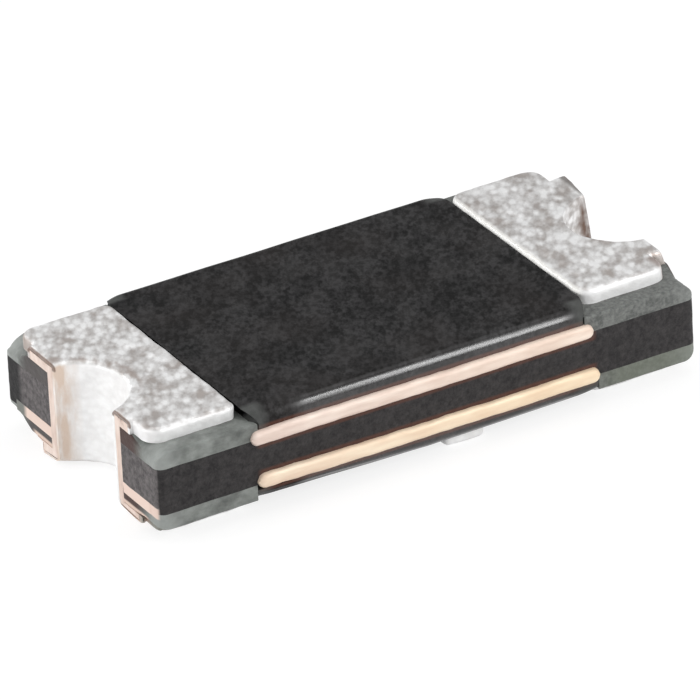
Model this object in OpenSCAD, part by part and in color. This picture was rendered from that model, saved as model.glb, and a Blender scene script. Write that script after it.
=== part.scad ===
// Surface-mount resettable fuse: a laminated chip with a conductive polymer core between two
// inner foils, a resin sheet on each side, and a plated half-round terminal at each end.
// X runs along the chip, Y across it and Z up. The origin is the middle of the solder plane.

/* [Body] */
// Length of the chip between its two cut ends
body_length = 3.35; // [2.8:0.05:4]
// Width of the chip between its two cut long sides
body_width = 1.63; // [1.3:0.01:2]
// Radius on the four upright corners of the chip
body_corner_radius = 0.05; // [0.02:0.01:0.08]

/* [Layers] */
// Thickness of the conductive polymer core
core_thickness = 0.27; // [0.2:0.01:0.5]
// Thickness of each resin sheet, from the face of the core to its own outer face
resin_thickness = 0.095; // [0.07:0.005:0.15]
// Thickness of each inner foil, of which half lies in the core and half in the resin
foil_thickness = 0.064; // [0.03:0.002:0.08]

/* [Inner foils] */
// How far a foil is etched back from the long sides near the ends
foil_setback = 0.11; // [0.04:0.01:0.2]
// Gap between the free end of a foil and the barrel that it must not touch
isolation_gap = 0.15; // [0.05:0.01:0.25]
// Height of the rolled copper edge that a foil shows along the long sides
foil_edge_height = 0.098; // [0.08:0.002:0.12]
// How far that rolled edge stands out from the long side
foil_edge_depth = 0.03; // [0.01:0.005:0.035]

/* [Terminals] */
// Length of the rectangle of each solder pad along the chip
pad_length = 0.57; // [0.45:0.01:0.7]
// How far that rectangle stays back from the cut end, before any shift of the etched pattern
pad_end_gap = 0.05; // [0.04:0.005:0.1]
// How far the pads stay back from the long sides
pad_setback = 0.11; // [0.05:0.01:0.15]
// Radius of the corners of that rectangle
pad_corner_radius = 0.1; // [0.05:0.01:0.15]
// Width of the ring of pad around the finished hole, which the cut end runs through
pad_ring_width = 0.24; // [0.15:0.005:0.3]
// Thickness of the copper of the pads
copper_thickness = 0.065; // [0.04:0.005:0.1]
// Thickness of the copper on the wall of the half-round holes
barrel_thickness = 0.05; // [0.03:0.005:0.08]
// Thickness of the tin over the copper
tin_thickness = 0.025; // [0.01:0.005:0.04]
// Diameter of the half-round holes, measured on the finished tin
hole_diameter = 0.6; // [0.4:0.01:0.7]
// How far outside the cut ends the centres of the holes lie
hole_offset = 0.035; // [0:0.005:0.06]

/* [Coating] */
// Thickness of the black coating over the upper resin sheet between the pads
upper_coat_thickness = 0.065; // [0.03:0.005:0.08]
// Thickness of the coating under the lower resin sheet
lower_coat_thickness = 0.04; // [0.03:0.005:0.08]
// How far the coating reaches down over the long edges, measured into the chip
coat_wrap = 0.05; // [0.03:0.005:0.08]
// Radius of the rounded long edges of the coating
coat_edge_radius = 0.07; // [0.04:0.01:0.1]

/* [Underside land] */
// Length of the small tinned land under the chip
land_length = 0.25; // [0.1:0.01:0.4]
// Depth of that land across the chip
land_depth = 0.2; // [0.1:0.01:0.4]
// Place of the middle of that land along the chip
land_offset = 0.25; // [-0.4:0.01:0.4]
// How far the land stays back from the edge of the resin
land_margin = 0.005; // [0.005:0.005:0.1]

/* [Registration] */
// Shift of the drilled holes along the chip
hole_shift = -0.03; // [-0.05:0.005:0.05]
// Shift of the drilled holes across the chip
hole_side_shift = -0.05; // [-0.06:0.005:0.06]
// Shift of the upper pattern of pads, coating and foil along the chip
upper_shift = -0.03; // [-0.05:0.005:0.05]
// Shift of the lower pattern of pads, coating and foil along the chip
lower_shift = 0; // [-0.05:0.005:0.05]

/* [Hidden] */
$fn = 96;
LEFT = -1;
RIGHT = 1;
cut_margin = 0.2;
pad_thickness = copper_thickness + tin_thickness;
side_thickness = resin_thickness + pad_thickness;
total_height = core_thickness + 2 * side_thickness;
core_top = side_thickness + core_thickness;
window_length = body_length - 2 * (pad_end_gap + pad_length);
finished_radius = hole_diameter / 2;
ring_radius = finished_radius + pad_ring_width;
copper_radius = finished_radius + tin_thickness;
drilled_radius = copper_radius + barrel_thickness;
resin_half_width = body_width / 2 - coat_wrap;
land_front = resin_half_width - land_margin;

// Where the pattern of one end has the centre of its ring, and where the hole came to lie
function ring_x(side) = side * (body_length / 2 + hole_offset);
function hole_x(side) = ring_x(side) + hole_shift;

// Turns a piece of the upper side over onto the lower side
module on_lower_side() {
    translate([0, 0, total_height])
        mirror([0, 0, 1])
            children();
}

// Plan of a rectangle with four round corners
module rounded_plan(length, width, radius) {
    square([length - 2 * radius, width], center = true);
    square([length, width - 2 * radius], center = true);
    for (x = [-1, 1], y = [-1, 1])
        translate([x * (length / 2 - radius), y * (width / 2 - radius)])
            circle(radius);
}

// Plan of the cut chip, with its rounded upright corners
module chip_plan() {
    rounded_plan(body_length, body_width, body_corner_radius);
}

// One round column at the hole of an end, through the whole chip
module hole_column(side, radius) {
    translate([hole_x(side), hole_side_shift, -cut_margin])
        cylinder(r = radius, h = total_height + 2 * cut_margin);
}

// The part of such a column that lies inside the chip, between two heights
module barrel_column(side, radius, bottom, top) {
    intersection() {
        hole_column(side, radius);
        translate([-body_length / 2, -body_width / 2, bottom])
            cube([body_length, body_width, top - bottom]);
    }
}

module drilled_holes() {
    for (side = [LEFT, RIGHT])
        hole_column(side, drilled_radius);
}

// Plan of a foil that joins the terminal of one end and stops short of the other.
// It is full width between the pads, where its edges show, and narrower near the ends.
module foil_plan(side, shift, past_side = 0, past_end = 0) {
    free_end = hole_x(-side) + side * (drilled_radius + isolation_gap);
    joined_end = side * (body_length / 2 + past_end);
    narrow = body_width - 2 * foil_setback;
    translate([min(free_end, joined_end), -narrow / 2])
        square([abs(joined_end - free_end), narrow]);
    translate([shift, 0])
        square([window_length, body_width + 2 * past_side], center = true);
}

module foil_plate(side, shift, past_side = 0, past_end = 0) {
    translate([0, 0, core_top - foil_thickness / 2])
        linear_extrude(foil_thickness)
            foil_plan(side, shift, past_side, past_end);
}

// Section of the rolled copper edge, with its flat back on the long side of the chip
// and a root that runs into the foil
module foil_edge_profile() {
    r = foil_edge_depth;
    straight = foil_edge_height - 2 * r;
    root = min(straight, foil_thickness);
    translate([0, -straight / 2])
        square([r, straight]);
    translate([-foil_setback, -root / 2])
        square([foil_setback + r, root]);
    intersection() {
        for (z = [-1, 1])
            translate([0, z * straight / 2])
                circle(r);
        translate([0, -foil_edge_height / 2])
            square([r, foil_edge_height]);
    }
}

module foil_edges(shift) {
    for (turn = [0, 180])
        translate([shift, 0, core_top])
            rotate(turn)
                translate([-window_length / 2, body_width / 2, 0])
                    rotate([90, 0, 90])
                        linear_extrude(window_length)
                            foil_edge_profile();
}

module foil(side, shift) {
    difference() {
        foil_plate(side, shift);
        drilled_holes();
    }
    foil_edges(shift);
}

// Resin sheet, narrowed between the pads where the coating wraps its long edges
module resin_sheet(side, shift) {
    rebate = coat_wrap + cut_margin;
    difference() {
        translate([0, 0, core_top])
            linear_extrude(resin_thickness)
                chip_plan();
        foil_plate(side, shift, cut_margin, cut_margin);
        drilled_holes();
        for (y = [-resin_half_width - rebate, resin_half_width])
            translate([shift - window_length / 2, y, core_top - cut_margin])
                cube([window_length, rebate, resin_thickness + 2 * cut_margin]);
    }
}

// Section of the coating: a cap with rounded shoulders over the resin
module coat_profile(thickness) {
    half = body_width / 2;
    bottom = foil_thickness / 2;
    top = resin_thickness + thickness;
    r = min(coat_edge_radius, top - bottom);
    difference() {
        union() {
            translate([-half, bottom])
                square([body_width, top - r - bottom]);
            translate([-half + r, bottom])
                square([body_width - 2 * r, top - bottom]);
            for (y = [-1, 1])
                translate([y * (half - r), top - r])
                    intersection() {
                        circle(r);
                        translate([-r, 0])
                            square([2 * r, r]);
                    }
        }
        translate([-resin_half_width, bottom - cut_margin])
            square([2 * resin_half_width, resin_thickness - bottom + cut_margin]);
    }
}

module coating(shift, thickness) {
    translate([shift - window_length / 2, 0, core_top])
        rotate([90, 0, 90])
            linear_extrude(window_length)
                coat_profile(thickness);
}

// Plan of a solder pad: a rectangle and the ring around the hole, cut off at the end of the chip.
// An inset draws in its etched edges, but not the cut end.
module pad_plan(side, shift, inset) {
    middle = body_length / 2 - pad_end_gap - pad_length / 2;
    length = pad_length - 2 * inset;
    width = body_width - 2 * (pad_setback + inset);
    intersection() {
        translate([shift, 0])
            union() {
                translate([side * middle, 0])
                    rounded_plan(length, width, pad_corner_radius - inset);
                translate([ring_x(side), 0])
                    circle(ring_radius - inset);
            }
        square([body_length, body_width], center = true);
    }
}

// The two pads of one terminal, above and below the laminate
module pads(side, thickness, inset) {
    translate([0, 0, core_top + resin_thickness])
        linear_extrude(thickness)
            pad_plan(side, upper_shift, inset);
    on_lower_side()
        translate([0, 0, core_top + resin_thickness])
            linear_extrude(thickness)
                pad_plan(side, lower_shift, inset);
}

// Copper of one terminal: two pads joined by the plated wall of the half-round hole
module terminal(side) {
    difference() {
        union() {
            pads(side, copper_thickness, tin_thickness);
            barrel_column(side, drilled_radius, tin_thickness, total_height - tin_thickness);
        }
        hole_column(side, copper_radius);
    }
}

// Tin over the pads, their edges and the wall of the hole, open at the cut end
module tin_plating(side) {
    difference() {
        union() {
            pads(side, pad_thickness, 0);
            barrel_column(side, copper_radius, 0, total_height);
        }
        terminal(side);
        hole_column(side, finished_radius);
    }
}

// Block of the small land under the chip, drawn in by an inset on its edges and its face
module land_block(inset) {
    translate([land_offset - land_length / 2 + inset, inset - land_front, inset])
        cube([land_length - 2 * inset, land_depth - 2 * inset, pad_thickness - inset]);
}

module ptc_core() {
    color("#2b2b2c")
        difference() {
            translate([0, 0, side_thickness])
                linear_extrude(core_thickness)
                    chip_plan();
            foil_plate(RIGHT, upper_shift, cut_margin, cut_margin);
            on_lower_side()
                foil_plate(LEFT, lower_shift, cut_margin, cut_margin);
            drilled_holes();
        }
}

module upper_foil() {
    color("#e3c4b2")
        foil(RIGHT, upper_shift);
}

module lower_foil() {
    color("#ecca9c")
        on_lower_side()
            foil(LEFT, lower_shift);
}

module upper_resin_sheet() {
    color("#7f8682")
        resin_sheet(RIGHT, upper_shift);
}

module lower_resin_sheet() {
    color("#7f8682")
        on_lower_side()
            resin_sheet(LEFT, lower_shift);
}

module left_terminal() {
    color("#dcc0b2")
        terminal(LEFT);
}

module right_terminal() {
    color("#dcc0b2")
        terminal(RIGHT);
}

module left_tin_plating() {
    color("#cbc9c7")
        tin_plating(LEFT);
}

module right_tin_plating() {
    color("#cbc9c7")
        tin_plating(RIGHT);
}

module upper_coating() {
    color("#303031")
        coating(upper_shift, upper_coat_thickness);
}

module lower_coating() {
    color("#303031")
        difference() {
            on_lower_side()
                coating(lower_shift, lower_coat_thickness);
            land_block(0);
        }
}

module underside_land() {
    color("#dcc0b2")
        land_block(tin_thickness);
}

module underside_land_tin() {
    color("#cbc9c7")
        difference() {
            land_block(0);
            land_block(tin_thickness);
        }
}

ptc_core();
upper_foil();
lower_foil();
upper_resin_sheet();
lower_resin_sheet();
left_terminal();
right_terminal();
left_tin_plating();
right_tin_plating();
upper_coating();
lower_coating();
underside_land();
underside_land_tin();
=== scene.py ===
"""Resettable fuse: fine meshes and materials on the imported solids, with a plain studio and the photo's camera."""
import math

import bmesh
import bpy
import numpy as np
from mathutils import Matrix, Vector, noise
from mathutils.geometry import delaunay_2d_cdt


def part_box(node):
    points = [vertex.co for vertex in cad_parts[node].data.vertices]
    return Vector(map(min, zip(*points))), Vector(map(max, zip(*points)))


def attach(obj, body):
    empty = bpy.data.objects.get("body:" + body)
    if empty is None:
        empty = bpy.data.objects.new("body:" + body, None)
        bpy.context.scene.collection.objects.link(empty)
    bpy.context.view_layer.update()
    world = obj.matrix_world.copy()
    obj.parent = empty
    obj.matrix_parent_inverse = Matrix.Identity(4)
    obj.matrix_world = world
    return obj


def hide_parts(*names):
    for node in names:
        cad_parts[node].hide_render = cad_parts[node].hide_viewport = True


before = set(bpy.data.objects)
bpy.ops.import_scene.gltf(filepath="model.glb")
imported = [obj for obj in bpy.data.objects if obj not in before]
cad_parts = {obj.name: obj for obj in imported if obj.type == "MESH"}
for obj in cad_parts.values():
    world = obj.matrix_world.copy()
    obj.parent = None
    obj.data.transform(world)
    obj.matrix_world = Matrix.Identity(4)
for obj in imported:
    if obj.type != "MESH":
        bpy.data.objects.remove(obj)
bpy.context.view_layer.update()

# Units: the meshes are made in millimetres and scaled to metres at the end
MM = 0.001


def box_mm(node):
    """A node's lowest and highest corners in millimetres."""
    low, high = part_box(node)
    return np.array(low) / MM, np.array(high) / MM


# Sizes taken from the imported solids
CORE_LOW, CORE_HIGH = box_mm("ptc_core")
END_X = CORE_HIGH[0]
SIDE_Y = CORE_HIGH[1]
TIN_LOW, TIN_HIGH = box_mm("left_tin_plating")
COPPER_LOW, COPPER_HIGH = box_mm("left_terminal")
UPPER_RESIN_LOW, UPPER_RESIN_HIGH = box_mm("upper_resin_sheet")
LOWER_RESIN_LOW, LOWER_RESIN_HIGH = box_mm("lower_resin_sheet")
UPPER_COAT_LOW, UPPER_COAT_HIGH = box_mm("upper_coating")
LOWER_COAT_LOW, LOWER_COAT_HIGH = box_mm("lower_coating")
UPPER_FOIL_LOW, UPPER_FOIL_HIGH = box_mm("upper_foil")
LOWER_FOIL_LOW, LOWER_FOIL_HIGH = box_mm("lower_foil")
LAND_LOW, LAND_HIGH = box_mm("underside_land_tin")
LAND_COPPER_LOW, LAND_COPPER_HIGH = box_mm("underside_land")
TOP_Z = TIN_HIGH[2]
MID_Z = TOP_Z / 2
TIN_THICK = TOP_Z - COPPER_HIGH[2]
PAD_HALF_WIDTH = TIN_HIGH[1]
UPPER_WINDOW = (UPPER_COAT_LOW[0], UPPER_COAT_HIGH[0])
LOWER_WINDOW = (LOWER_COAT_LOW[0], LOWER_COAT_HIGH[0])

# Sizes that the boxes don't show, as in the part's source; only the left pads' inner corners are tighter here
CHIP_CORNER = 0.05
HOLE_CENTRE = {"left": -0.065, "right": -0.005}
HOLE_Y = -0.05
TIN_HOLE_RADIUS = 0.30
COPPER_HOLE_RADIUS = 0.325
DRILL_RADIUS = 0.375
PAD_LENGTH = 0.57
PAD_CORNER = 0.10
INNER_CORNER = {"left": 0.06, "right": 0.10}
RING_RADIUS = 0.54
RING_BEYOND_PAD = 0.085
COAT_SHOULDER = 0.07
COAT_WRAP = 0.05
FOIL_THICK = 0.064
FOIL_SETBACK = 0.11
FOIL_HALF_WIDTH = SIDE_Y - FOIL_SETBACK
FOIL_EDGE_ROUND = 0.03

# Small gaps that keep one layer clear of another
TAB_INSET = 0.015
TAB_END_GAP = 0.05
REBATE_END_GAP = 0.045
LAND_MARGIN = 0.005

# How the coatings end: the foot of the wrap, and the corners drawn in and lowered beside the pads
WRAP_BASE, SEAT_FADE = 0.02, 0.03
COAT_END_REACH = 0.12
COAT_CORNER = 0.055
COAT_CORNER_FROM_Y = 0.68
COAT_CORNER_DROP = 0.25

# How much the lower coating thins: everywhere, and more towards its ends
THIN = 0.12
THIN_LEFT, THIN_RIGHT = 0.73, 0.2
THIN_SPREAD = 1.6

# Corners and lower edge of the land under the chip
LAND_CORNER, LAND_COPPER_CORNER, LAND_ROUND = 0.035, 0.02, 0.025

# Fineness of the meshes
STEP = 0.014
PAD_CELL = 0.010
COPPER_CELL = 0.02
COAT_STEP = 0.012
SHEET_CELL = 0.03
RING_POINTS = 12
EDGE_POINTS = 6
SHOULDER_POINTS = 14
ROW_SHARE = 0.87
FILL_MARGIN = 0.45
MITRE_LIMIT = 0.6
CREASE = math.radians(38)
PLATE_LEVELS = 5
OVERLAP = 0.02
GAP_BEYOND, GAP_REACH = 0.1, 1.2
CLOSE = 1e-4

# The grain of the tin and the coating is drawn out a little, askew across the chip
GRAIN_STRETCH = (1.0, 0.6, 1.0)
GRAIN_TURN = 29.0

# The shiny stretch of the coating's long edges
SHINE_FROM_X, SHINE_TO_X = -0.73, 0.85

# Relief, as layers of a height, a wavelength and a seed, and the tin's blisters
CUT_WAVES = ((0.0035, 0.22, 1), (0.0016, 0.05, 2))
TIN_WAVES = ((0.0035, 0.13, 3), (0.0022, 0.05, 5))
BLISTER_WAVELENGTH, BLISTER_SEED, BLISTER_FROM = 0.085, 7, 0.35
BLISTER_HEIGHT = 0.006
TIN_SETTLE = 0.004
COAT_WAVE, COAT_GRAIN = 0.0022, 0.0003

# Edges softened by the plating and the saw
RIM_ROUND = 0.034
HOLE_RIM_WIDTH = {"left": 0.04, "right": 0.015}
CUT_ZONE = 0.06
END_ROLL = {"left": 0.03, "right": 0.006}
LEFT_TOP_DROP = 0.008
FOOT_ROLL = 0.09
FOOT_FAR_Y, FOOT_FAR_PULL = 0.38, 0.7
FOOT_NEAR_Y, FOOT_NEAR_PULL = -0.34, 0.4
FOOT_BACK_SHARE = 0.35
FOOT_SHARE_FROM_Y, FOOT_SHARE_WIDTH = 0.3, 0.6
FOOT_RIM_LIFT = 0.02
FOOT_RIM_REACH = 0.09
SHEET_WEAR_REACH = 0.08
SHEET_WEAR = 0.05
RIGHT_SHEET_WEAR = 0.075
NEAR_FOOT_WEAR = 0.015
CORNER_WEAR_REACH = 0.22
CORNER_WEAR = 0.085
SHEET_WEAR_LIMIT = 0.8
BESIDE_RING = 0.1
SHEET_ROUND = 0.008

# Height of the rolled foil edges over their straight place: in the middle, and per millimetre to the left and right
UPPER_BOW = (0.010, 0.003, 0.004)
LOWER_BOW = (0.008, 0.011, 0.001)
STRIP_SLIM = 0.93

# The left end's saw cut runs a little askew, further in at the front
ASKEW = 0.028
ASKEW_FROM_X = 1.3
ASKEW_FROM_Y, ASKEW_TO_Y = 0.3, -0.35

# How far the right terminal is drawn in at the top of the sawn end, along the end from front to back
RIGHT_WEAR_REACH = 0.15
RIGHT_WEAR_Y = (-0.6, -0.3, 0.1, 0.26, 0.42, 0.6)
RIGHT_WEAR = (0.04, 0.04, 0.036, 0.036, 0.004, 0.0)
RIGHT_WEAR_FOOT = {"front": 0.5, "back": 0.36}


def ripple(points, wavelength, seed):
    """Smooth noise from -1 to 1 at each point."""
    shift = Vector((17.3, 5.1, 9.7)) * seed
    return np.array([noise.noise(Vector(p) / wavelength + shift) for p in points])


def waves(points, layers):
    """Noises of several heights and wavelengths added up."""
    return sum(height * ripple(points, wavelength, seed) for height, wavelength, seed in layers)


def cut_relief(points):
    """Outward relief of the sawn sides and ends, shared by all the layers."""
    return waves(points, CUT_WAVES)


def arc(centre, radius, start, end, count=None):
    """Points on an arc, both ends included; angles in degrees."""
    count = count or max(3, math.ceil(abs(math.radians(end - start)) * radius / STEP) + 1)
    angles = np.radians(np.linspace(start, end, count))
    return [(centre[0] + radius * math.cos(a), centre[1] + radius * math.sin(a)) for a in angles]


def dense(points, whole_x=None):
    """A closed outline with points added on its long stretches, apart from those at x = whole_x."""
    made = []
    for here, there in zip(points, points[1:] + points[:1]):
        here, there = np.array(here), np.array(there)
        length = np.linalg.norm(there - here)
        if length < 1e-9:
            continue
        whole = whole_x is not None and max(abs(here[0] - whole_x), abs(there[0] - whole_x)) < 1e-6
        count = 1 if whole else max(1, math.ceil(length / STEP))
        made += [here + (there - here) * i / count for i in range(count)]
    return np.array(made)


def inward(outline):
    """Inward normals of a counter-clockwise outline, lengthened at corners."""
    before = outline - np.roll(outline, 1, axis=0)
    after = np.roll(outline, -1, axis=0) - outline
    before /= np.linalg.norm(before, axis=1)[:, None]
    after /= np.linalg.norm(after, axis=1)[:, None]
    left_before = np.column_stack([-before[:, 1], before[:, 0]])
    left_after = np.column_stack([-after[:, 1], after[:, 0]])
    middle = left_before + left_after
    middle /= np.linalg.norm(middle, axis=1)[:, None]
    return middle / np.clip((middle * left_after).sum(axis=1), MITRE_LIMIT, 1)[:, None]


def inside(points, outline):
    """Which points lie inside a closed outline."""
    x, y = points[:, 0][:, None], points[:, 1][:, None]
    x0, y0 = outline[:, 0], outline[:, 1]
    x1, y1 = np.roll(x0, -1), np.roll(y0, -1)
    crosses = (y0 > y) != (y1 > y)
    with np.errstate(divide="ignore", invalid="ignore"):
        at = x0 + (y - y0) * (x1 - x0) / (y1 - y0)
    return (crosses & (x < at)).sum(axis=1) % 2 == 1


def fill(ring, cell):
    """Triangles over a flat ring, with inner points on a staggered grid of the given cell."""
    flat = ring[:, :2]
    extra = np.zeros((0, 2))
    if cell:
        low, high = flat.min(axis=0), flat.max(axis=0)
        rows = np.arange(low[1] + cell / 2, high[1], cell * ROW_SHARE)
        extra = np.array([(x + (cell / 2 if i % 2 else 0), y)
                          for i, y in enumerate(rows) for x in np.arange(low[0] + cell / 3, high[0], cell)])
        extra = extra[inside(extra, flat + inward(flat) * FILL_MARGIN * cell)]
    count = len(flat)
    places = [Vector(p) for p in np.vstack([flat, extra])]
    edges = [(i, (i + 1) % count) for i in range(count)]
    _, _, faces, origins, _, _ = delaunay_2d_cdt(places, edges, [], 1, 1e-9)
    index = [group[0] for group in origins]
    return extra, [tuple(index[i] for i in face) for face in faces]


def prism(levels, cell=None, relief=None):
    """A closed mesh through rings at rising heights; a level is an outline, its normals, an inset and a height."""
    rings = []
    for outline, normals, inset, z in levels:
        ring = np.column_stack([outline + normals * inset, np.full(len(outline), z)])
        if relief:
            ring[:, :2] -= normals * relief(ring)[:, None]
        rings.append(ring)
    count = len(rings[0])
    verts = list(np.vstack(rings))
    faces = []
    for level in range(len(rings) - 1):
        low, high = level * count, (level + 1) * count
        for i in range(count):
            j = (i + 1) % count
            faces.append((low + i, low + j, high + j, high + i))
    for ring, first, turned in ((rings[0], 0, True), (rings[-1], (len(rings) - 1) * count, False)):
        extra, triangles = fill(ring, cell)
        start = len(verts)
        verts += [np.array((x, y, ring[0, 2])) for x, y in extra]
        index = [first + i for i in range(count)] + [start + i for i in range(len(extra))]
        for triangle in triangles:
            face = tuple(index[i] for i in triangle)
            faces.append(face[::-1] if turned else face)
    return np.array(verts), faces


def heights(low, high, round_low=0.0, round_high=0.0):
    """Insets and heights of a wall from low to high whose edges are rounded."""
    turn = np.linspace(0, math.pi / 2, EDGE_POINTS)
    wall = [(0.0, z) for z in np.linspace(low + round_low, high - round_high,
                                          max(2, math.ceil((high - low - round_low - round_high) / STEP) + 1))]
    foot = [(round_low * (1 - math.sin(t)), low + round_low * (1 - math.cos(t))) for t in turn[:-1]]
    head = [(round_high * (1 - math.cos(t)), high - round_high * (1 - math.sin(t))) for t in turn[1:]]
    return (foot if round_low else []) + wall + (head if round_high else [])


def stacked(outline, steps):
    """Levels of one outline at the given insets and heights."""
    normals = inward(outline)
    return [(outline, normals, inset, z) for inset, z in steps]


def swept(steps, count):
    """Faces of a closed section of count points repeated along a number of steps."""
    faces = []
    for i in range(steps - 1):
        for k in range(count):
            a, b = i * count + k, i * count + (k + 1) % count
            faces.append((a, b, b + count, a + count))
    return faces + [tuple(range(count))[::-1], tuple(range((steps - 1) * count, steps * count))]


def chip_outline(window=None, depth=0.0):
    """The chip seen from above, with its half-round ends; a window narrows both long sides."""
    x, y, r = END_X, SIDE_Y, CHIP_CORNER
    left, right = -END_X + HOLE_CENTRE["left"], END_X - HOLE_CENTRE["right"]
    left_turn = math.degrees(math.acos(-HOLE_CENTRE["left"] / DRILL_RADIUS))
    right_turn = math.degrees(math.acos(-HOLE_CENTRE["right"] / DRILL_RADIUS))
    front = [(window[0], -y), (window[0], depth - y), (window[1], depth - y), (window[1], -y)] if window else []
    back = [(px, -py) for px, py in reversed(front)]
    points = arc((r - x, r - y), r, 180, 270) + front + arc((x - r, r - y), r, 270, 360)
    points += arc((right, HOLE_Y), DRILL_RADIUS, 180 + right_turn, 180 - right_turn)
    points += arc((x - r, y - r), r, 0, 90) + back + arc((r - x, y - r), r, 90, 180)
    points += arc((left, HOLE_Y), DRILL_RADIUS, left_turn, -left_turn)
    return dense(points)


def pad_outline(side, inner_edge, inset, hole_radius):
    """A pad seen from above and its inward normals: a rectangle and a ring round the hole, cut at the chip's end."""
    far = END_X - abs(inner_edge) - inset
    near = END_X - abs(inner_edge) - PAD_LENGTH + inset
    ring = END_X - abs(inner_edge) - PAD_LENGTH - RING_BEYOND_PAD
    y, r, ring_radius = PAD_HALF_WIDTH - inset, PAD_CORNER - inset, RING_RADIUS - inset
    hole = HOLE_CENTRE[side]
    hole_turn = math.degrees(math.acos(-hole / hole_radius))
    meet = math.degrees(math.acos((near - ring) / ring_radius))
    leave = math.degrees(math.acos(-ring / ring_radius))
    turn = INNER_CORNER[side] - inset
    points = arc((far - turn, turn - y), turn, 270, 360) + arc((far - turn, y - turn), turn, 0, 90)
    points += arc((near + r, y - r), r, 90, 180)
    points += arc((ring, 0), ring_radius, meet, leave, RING_POINTS)
    points += arc((hole, HOLE_Y), hole_radius, hole_turn, -hole_turn)
    points += arc((ring, 0), ring_radius, -leave, -meet, RING_POINTS)
    points += arc((near + r, r - y), r, 180, 270)
    outline = dense(points, whole_x=0.0)
    normals = inward(outline)
    cut = np.abs(outline[:, 0]) < 1e-6
    normals[cut] = np.column_stack([np.zeros(cut.sum()), np.sign(normals[cut, 1])])
    by_cut = outline[:, 0] < CUT_ZONE
    normals[by_cut, 0] = np.maximum(normals[by_cut, 0], 0)
    rim = np.hypot(outline[:, 0] - hole, outline[:, 1] - HOLE_Y) < hole_radius + CLOSE
    normals[rim] *= HOLE_RIM_WIDTH[side] / RIM_ROUND
    if side == "left":
        return outline + (-END_X, 0), normals
    flip = np.array((-1, 1))
    return (outline * flip + (END_X, 0))[::-1], (normals * flip)[::-1]


def placed(name, data):
    """A new object in the scene."""
    made = bpy.data.objects.new(name, data)
    bpy.context.scene.collection.objects.link(made)
    return made


def to_object(name, verts, faces):
    """A new object with a mesh."""
    mesh = bpy.data.meshes.new(name)
    mesh.from_pydata([tuple(v) for v in verts], [], faces)
    return placed(name, mesh)


def swell(verts, faces, amount):
    """Moves each point along its normal by its amount; points on the sawn ends stay in their plane."""
    mesh = bpy.data.meshes.new("swell")
    mesh.from_pydata([tuple(v) for v in verts], [], faces)
    mesh.update()
    normals = np.array([v.normal for v in mesh.vertices])
    bpy.data.meshes.remove(mesh)
    move = normals * amount[:, None]
    move[np.abs(verts[:, 0]) > END_X - CLOSE, 0] = 0
    return verts + move


def carve(piece, *tools):
    """Cuts closed meshes out of a piece."""
    for verts, faces in tools:
        tool = to_object("tool", verts, faces)
        cut = piece.modifiers.new("cut", "BOOLEAN")
        cut.operation = "DIFFERENCE"
        cut.solver = "MANIFOLD"
        cut.object = tool
        bpy.context.view_layer.update()
        result = bpy.data.meshes.new_from_object(piece.evaluated_get(bpy.context.evaluated_depsgraph_get()))
        piece.modifiers.clear()
        piece.data = result
        bpy.data.objects.remove(tool)


def block(low, high):
    """A plain box as a closed mesh, for cutting."""
    (x0, y0, z0), (x1, y1, z1) = low, high
    verts = np.array([(x, y, z) for z in (z0, z1) for x, y in ((x0, y0), (x1, y0), (x1, y1), (x0, y1))])
    faces = [(0, 3, 2, 1), (4, 5, 6, 7), (0, 1, 5, 4), (1, 2, 6, 5), (2, 3, 7, 6), (3, 0, 4, 7)]
    return verts, faces


def share(value, start, end):
    """How far a value has come from start to end, from 0 to 1."""
    return min(1.0, max(0.0, (value - start) / (end - start)))


def seat(piece, node, material):
    """Finishes a piece: metres, smooth faces with sharp creases, material, and its place in the frame."""
    piece.name = piece.data.name = node + "_detail"
    shape = bmesh.new()
    shape.from_mesh(piece.data)
    bmesh.ops.remove_doubles(shape, verts=shape.verts, dist=1e-5)
    bmesh.ops.dissolve_degenerate(shape, edges=shape.edges, dist=1e-6)
    for vert in shape.verts:
        vert.co.x += ASKEW * share(-vert.co.x, ASKEW_FROM_X, END_X) * share(vert.co.y, ASKEW_FROM_Y, ASKEW_TO_Y)
    for face in shape.faces:
        face.smooth = True
    for edge in shape.edges:
        edge.smooth = len(edge.link_faces) == 2 and edge.calc_face_angle(0) < CREASE
    shape.transform(Matrix.Scale(MM, 4))
    shape.to_mesh(piece.data)
    shape.free()
    piece.data.materials.clear()
    piece.data.materials.append(material)
    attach(piece, "root")
    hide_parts(node)


def add(tree, kind, inputs=None, **settings):
    """One shader node; an input is a value or another node's output."""
    made = tree.nodes.new(kind)
    for key, value in settings.items():
        setattr(made, key, value)
    for key, value in (inputs or {}).items():
        if isinstance(value, bpy.types.NodeSocket):
            tree.links.new(value, made.inputs[key])
        else:
            made.inputs[key].default_value = value
    return made


def new_material(name, **constants):
    """A material, its node tree, its shader and its coordinates in millimetres."""
    material = bpy.data.materials.new(name)
    material.use_nodes = True
    tree = material.node_tree
    shader = tree.nodes["Principled BSDF"]
    for key, value in constants.items():
        shader.inputs[key.replace("_", " ")].default_value = value
    place = add(tree, "ShaderNodeTexCoord").outputs["Object"]
    scaled = add(tree, "ShaderNodeVectorMath", {0: place, "Scale": 1 / MM}, operation="SCALE")
    return material, tree, shader, scaled.outputs[0]


def drawn_out(tree, place, stretch, turned):
    """Places turned about Z and drawn out along an axis where asked."""
    if turned:
        place = add(tree, "ShaderNodeVectorRotate", {"Vector": place, "Angle": math.radians(turned)},
                    rotation_type="Z_AXIS").outputs[0]
    if stretch:
        place = add(tree, "ShaderNodeVectorMath", {0: place, 1: stretch}, operation="MULTIPLY").outputs[0]
    return place


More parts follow.
